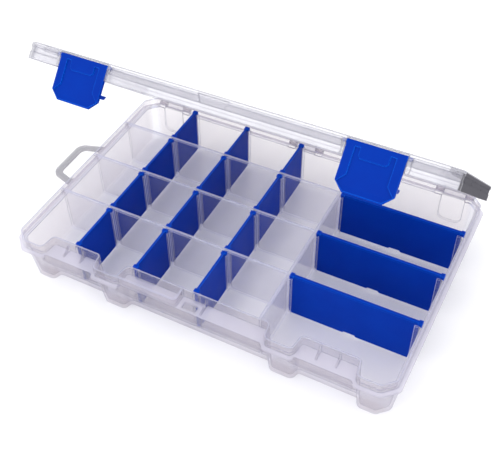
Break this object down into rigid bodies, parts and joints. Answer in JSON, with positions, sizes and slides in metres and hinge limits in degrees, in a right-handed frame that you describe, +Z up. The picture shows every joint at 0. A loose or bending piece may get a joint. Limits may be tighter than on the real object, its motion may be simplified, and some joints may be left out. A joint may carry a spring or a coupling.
{
  "type": "compartment tackle box",
  "caption": "Shallow see-through plastic tackle box with a hinged lid, snap latches and lift-out dividers in a compartment tray.",
  "frame": {"origin": "middle of the tray's base plane", "axes": "+X to the right along the long side, seen from the latch side; +Y towards the hinge; +Z up"},
  "size_m": [0.2981, 0.192, 0.1653],
  "materials": {
    "tray_plastic": "translucent, lightly satin",
    "lid_plastic": "clear gloss",
    "latch_plastic": "satin moulded blue",
    "divider_plastic": "satin moulded blue"
  },
  "bodies": {
    "tray": {"tray": "tray_plastic"},
    "lid": {"lid": "lid_plastic"},
    "latch_left": {"latch_left": "latch_plastic"},
    "latch_right": {"latch_right": "latch_plastic"},
    "divider_r1_c1": {"divider_r1_c1": "divider_plastic"},
    "divider_r1_c2": {"divider_r1_c2": "divider_plastic"},
    "divider_r1_c3": {"divider_r1_c3": "divider_plastic"},
    "divider_r2_c1": {"divider_r2_c1": "divider_plastic"},
    "divider_r2_c2": {"divider_r2_c2": "divider_plastic"},
    "divider_r2_c3": {"divider_r2_c3": "divider_plastic"},
    "divider_r3_c1": {"divider_r3_c1": "divider_plastic"},
    "divider_r3_c2": {"divider_r3_c2": "divider_plastic"},
    "divider_r3_c3": {"divider_r3_c3": "divider_plastic"},
    "divider_r4_c1": {"divider_r4_c1": "divider_plastic"},
    "divider_r4_c2": {"divider_r4_c2": "divider_plastic"},
    "divider_r4_c3": {"divider_r4_c3": "divider_plastic"},
    "divider_long_1": {"divider_long_1": "divider_plastic"},
    "divider_long_2": {"divider_long_2": "divider_plastic"},
    "divider_long_3": {"divider_long_3": "divider_plastic"}
  },
  "joints": [
    {"name": "lid_hinge", "type": "hinge", "parent": "tray", "child": "lid", "pos_m": [0, 0.0936, 0.032], "axis": [-1, 0, 0], "range_deg": [-42.3, 137.7]},
    {"name": "latch_left_pivot", "type": "hinge", "parent": "lid", "child": "latch_left", "pos_m": [-0.093, -0.03588, 0.1628], "axis": [-1, 0, 0], "range_deg": [0, 100]},
    {"name": "latch_right_pivot", "type": "hinge", "parent": "lid", "child": "latch_right", "pos_m": [0.093, -0.03588, 0.1628], "axis": [-1, 0, 0], "range_deg": [0, 100]},
    {"name": "divider_r1_c1_lift", "type": "slide", "parent": "tray", "child": "divider_r1_c1", "axis": [0, 0, 1], "range_m": [0, 0.04]},
    {"name": "divider_r1_c2_lift", "type": "slide", "parent": "tray", "child": "divider_r1_c2", "axis": [0, 0, 1], "range_m": [0, 0.04]},
    {"name": "divider_r1_c3_lift", "type": "slide", "parent": "tray", "child": "divider_r1_c3", "axis": [0, 0, 1], "range_m": [0, 0.04]},
    {"name": "divider_r2_c1_lift", "type": "slide", "parent": "tray", "child": "divider_r2_c1", "axis": [0, 0, 1], "range_m": [0, 0.04]},
    {"name": "divider_r2_c2_lift", "type": "slide", "parent": "tray", "child": "divider_r2_c2", "axis": [0, 0, 1], "range_m": [0, 0.04]},
    {"name": "divider_r2_c3_lift", "type": "slide", "parent": "tray", "child": "divider_r2_c3", "axis": [0, 0, 1], "range_m": [0, 0.04]},
    {"name": "divider_r3_c1_lift", "type": "slide", "parent": "tray", "child": "divider_r3_c1", "axis": [0, 0, 1], "range_m": [0, 0.04]},
    {"name": "divider_r3_c2_lift", "type": "slide", "parent": "tray", "child": "divider_r3_c2", "axis": [0, 0, 1], "range_m": [0, 0.04]},
    {"name": "divider_r3_c3_lift", "type": "slide", "parent": "tray", "child": "divider_r3_c3", "axis": [0, 0, 1], "range_m": [0, 0.04]},
    {"name": "divider_r4_c1_lift", "type": "slide", "parent": "tray", "child": "divider_r4_c1", "axis": [0, 0, 1], "range_m": [0, 0.0075]},
    {"name": "divider_r4_c2_lift", "type": "slide", "parent": "tray", "child": "divider_r4_c2", "axis": [0, 0, 1], "range_m": [0, 0.0075]},
    {"name": "divider_r4_c3_lift", "type": "slide", "parent": "tray", "child": "divider_r4_c3", "axis": [0, 0, 1], "range_m": [0, 0.0075]},
    {"name": "divider_long_1_lift", "type": "slide", "parent": "tray", "child": "divider_long_1", "axis": [0, 0, 1], "range_m": [0, 0.04]},
    {"name": "divider_long_2_lift", "type": "slide", "parent": "tray", "child": "divider_long_2", "axis": [0, 0, 1], "range_m": [0, 0.04]},
    {"name": "divider_long_3_lift", "type": "slide", "parent": "tray", "child": "divider_long_3", "axis": [0, 0, 1], "range_m": [0, 0.04]}
  ]
}
